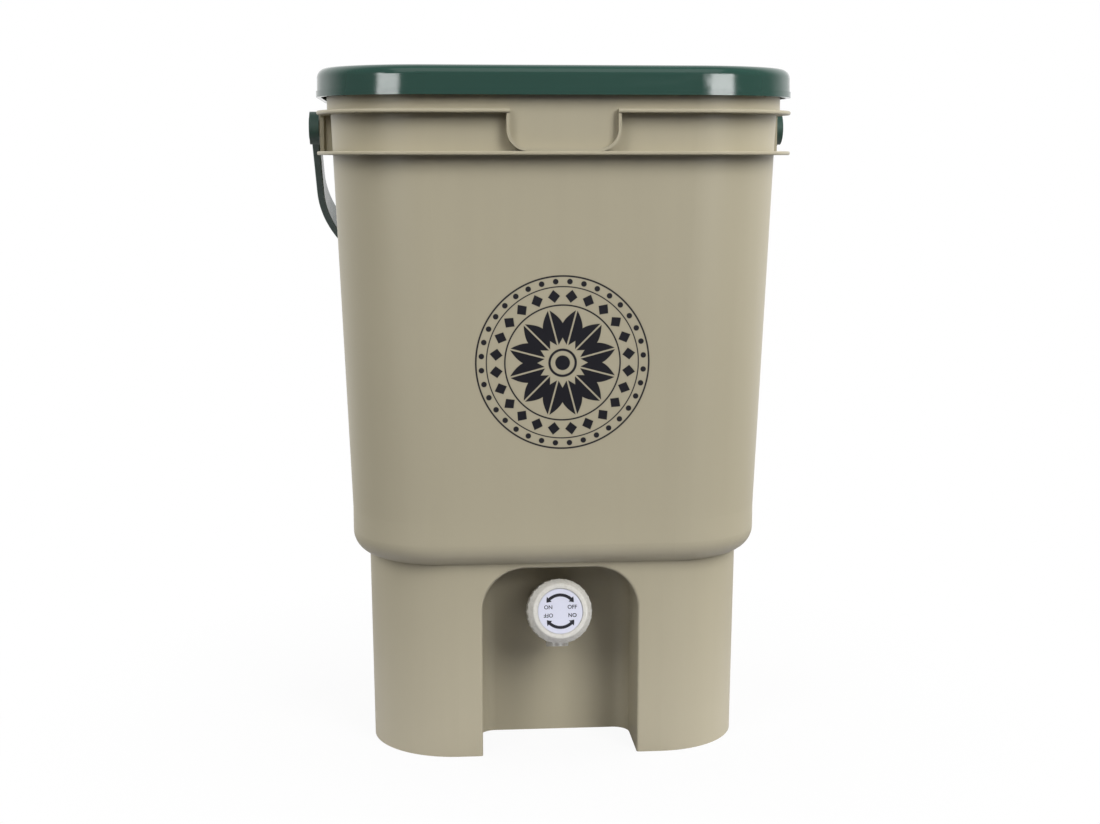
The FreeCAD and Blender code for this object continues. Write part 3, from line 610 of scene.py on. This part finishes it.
def lay_floor():
    """A wide floor, a flat square, with a soft shadow near the bin.

    It looks white to the camera and, behind the bin, in reflections. To the bin itself it throws back most
    light from close by, so that the foot is bright and the flanges keep their shadows.
    """
    corners = FLOOR_HALF * np.array([(-1, -1, 0), (1, -1, 0), (1, 1, 0), (-1, 1, 0)])
    mesh = bpy.data.meshes.new("floor")
    mesh.from_pydata(corners.tolist(), [], [(0, 1, 2, 3)])
    floor = bpy.data.objects.new("floor", mesh)
    bpy.context.scene.collection.objects.link(floor)
    finish = Finish("floor_white", Roughness=0.9)
    seen, glossy, through = finish.rays("Camera", "Glossy", "Transmission")
    radius = (finish.x ** 2 + finish.y ** 2) ** 0.5
    bounce = finish.mix(radius.ramp(*UNDER_TO_NEAR), UNDER_BOUNCE, NEAR_BOUNCE)
    bounce = finish.mix(radius.ramp(*NEAR_TO_FAR), bounce, FAR_BOUNCE)
    finish.set(Base_Color=finish.mix(seen, bounce, SHADOW_GREY))
    white = radius.ramp(*SHADOW_FADE, SHADOW_WHITE, 1.0)
    behind = glossy.most(through) * finish.y.ramp(*FLOOR_BEHIND)
    glow = finish.node("ShaderNodeEmission", None, {"Color": (1, 1, 1, 1), "Strength": 1.0})
    mixed = finish.node("ShaderNodeMixShader", None, {
        0: (seen * white).most(behind), 1: Value(finish, finish.shader.outputs[0]), 2: glow})
    finish.tree.links.new(mixed.socket, finish.tree.nodes["Material Output"].inputs["Surface"])
    mesh.materials.append(finish.material)


def light_room(scene, settings):
    """A room with a pale ceiling and a white backdrop.

    Surfaces are lit by the ceiling, reflections show the backdrop at the back and a dimmer room in front, and
    the camera sees plain white.
    """
    scene.world = bpy.data.worlds.new("white_room")
    scene.world.use_nodes = True
    room = Graph(scene.world.node_tree, "Generated")
    lit = room.z.ramp(*CEILING_EDGE, settings.room_light, settings.ceiling_light)
    mirrored = room.y.ramp(*BACKDROP_EDGE, settings.room_gloss, 1.0)
    camera, glossy, through = room.rays("Camera", "Glossy", "Transmission")
    level = lit + (mirrored - lit) * glossy
    back = room.tree.nodes["Background"]
    back.inputs["Color"].default_value = (1, 1, 1, 1)
    room.tree.links.new(level.most(camera.most(through)).socket, back.inputs["Strength"])


def hang_lamp(name, brightness, azimuth, height, distance, size, lights=True, mirrored=True):
    """A rectangular lamp facing the bin, which lights it, shows in its reflections, or both.

    Its power is its brightness times its area times pi.
    """
    lamp = bpy.data.lights.new(name, "AREA")
    lamp.shape = "RECTANGLE"
    lamp.size, lamp.size_y = size
    lamp.energy = brightness * size[0] * size[1] * math.pi
    hung = bpy.data.objects.new(name, lamp)
    hung.visible_camera = False
    hung.visible_diffuse = lights
    hung.visible_glossy = mirrored
    turn = math.radians(azimuth)
    hung.location = (distance * math.sin(turn), -distance * math.cos(turn), height)
    hung.rotation_euler = (LAMP_AIM - hung.location).to_track_quat("-Z", "Y").to_euler()
    bpy.context.scene.collection.objects.link(hung)


def place_camera(scene, settings):
    """The camera in front of the bin, near its flanges' height, a little to the left and tilted down."""
    lens = bpy.data.cameras.new("front_camera")
    lens.sensor_fit = "HORIZONTAL"
    lens.sensor_width = SENSOR_WIDTH
    lens.lens = settings.camera_lens
    camera = bpy.data.objects.new("front_camera", lens)
    camera.location = settings.camera_place
    camera.rotation_euler = Euler((math.pi / 2 - settings.camera_pitch, 0, -settings.camera_yaw))
    scene.collection.objects.link(camera)
    scene.camera = camera


class BOKASHI_PT_panel(bpy.types.Panel):
    """Settings and buttons for every step of the bin's looks"""
    bl_idname = "BOKASHI_PT_panel"
    bl_label = "Bokashi bin"
    bl_space_type = "VIEW_3D"
    bl_region_type = "UI"
    bl_category = "Bokashi bin"

    def draw(self, context):
        for group in GROUPS:
            settings = getattr(context.scene, group)
            for name in settings.bl_rna.properties.keys():
                if name not in {"rna_type", "name"}:
                    self.layout.prop(settings, name)
        for step in STEPS:
            self.layout.operator(step.bl_idname)


STEPS = (BOKASHI_OT_tank, BOKASHI_OT_lid, BOKASHI_OT_bail, BOKASHI_OT_tap, BOKASHI_OT_studio)
GROUPS = {"bokashi_finish": FinishSettings, "bokashi_print": PrintSettings, "bokashi_studio": StudioSettings}


def register():
    for name, group in GROUPS.items():
        bpy.utils.register_class(group)
        setattr(bpy.types.Scene, name, PointerProperty(type=group))
    for step in (*STEPS, BOKASHI_PT_panel):
        bpy.utils.register_class(step)


def unregister():
    for step in reversed((*STEPS, BOKASHI_PT_panel)):
        bpy.utils.unregister_class(step)
    for name, group in reversed(GROUPS.items()):
        delattr(bpy.types.Scene, name)
        bpy.utils.unregister_class(group)


def main():
    register()
    bpy.ops.bokashi.tank()
    bpy.ops.bokashi.lid()
    bpy.ops.bokashi.bail()
    bpy.ops.bokashi.tap()
    bpy.ops.bokashi.studio()


if __name__ == "__main__":
    main()
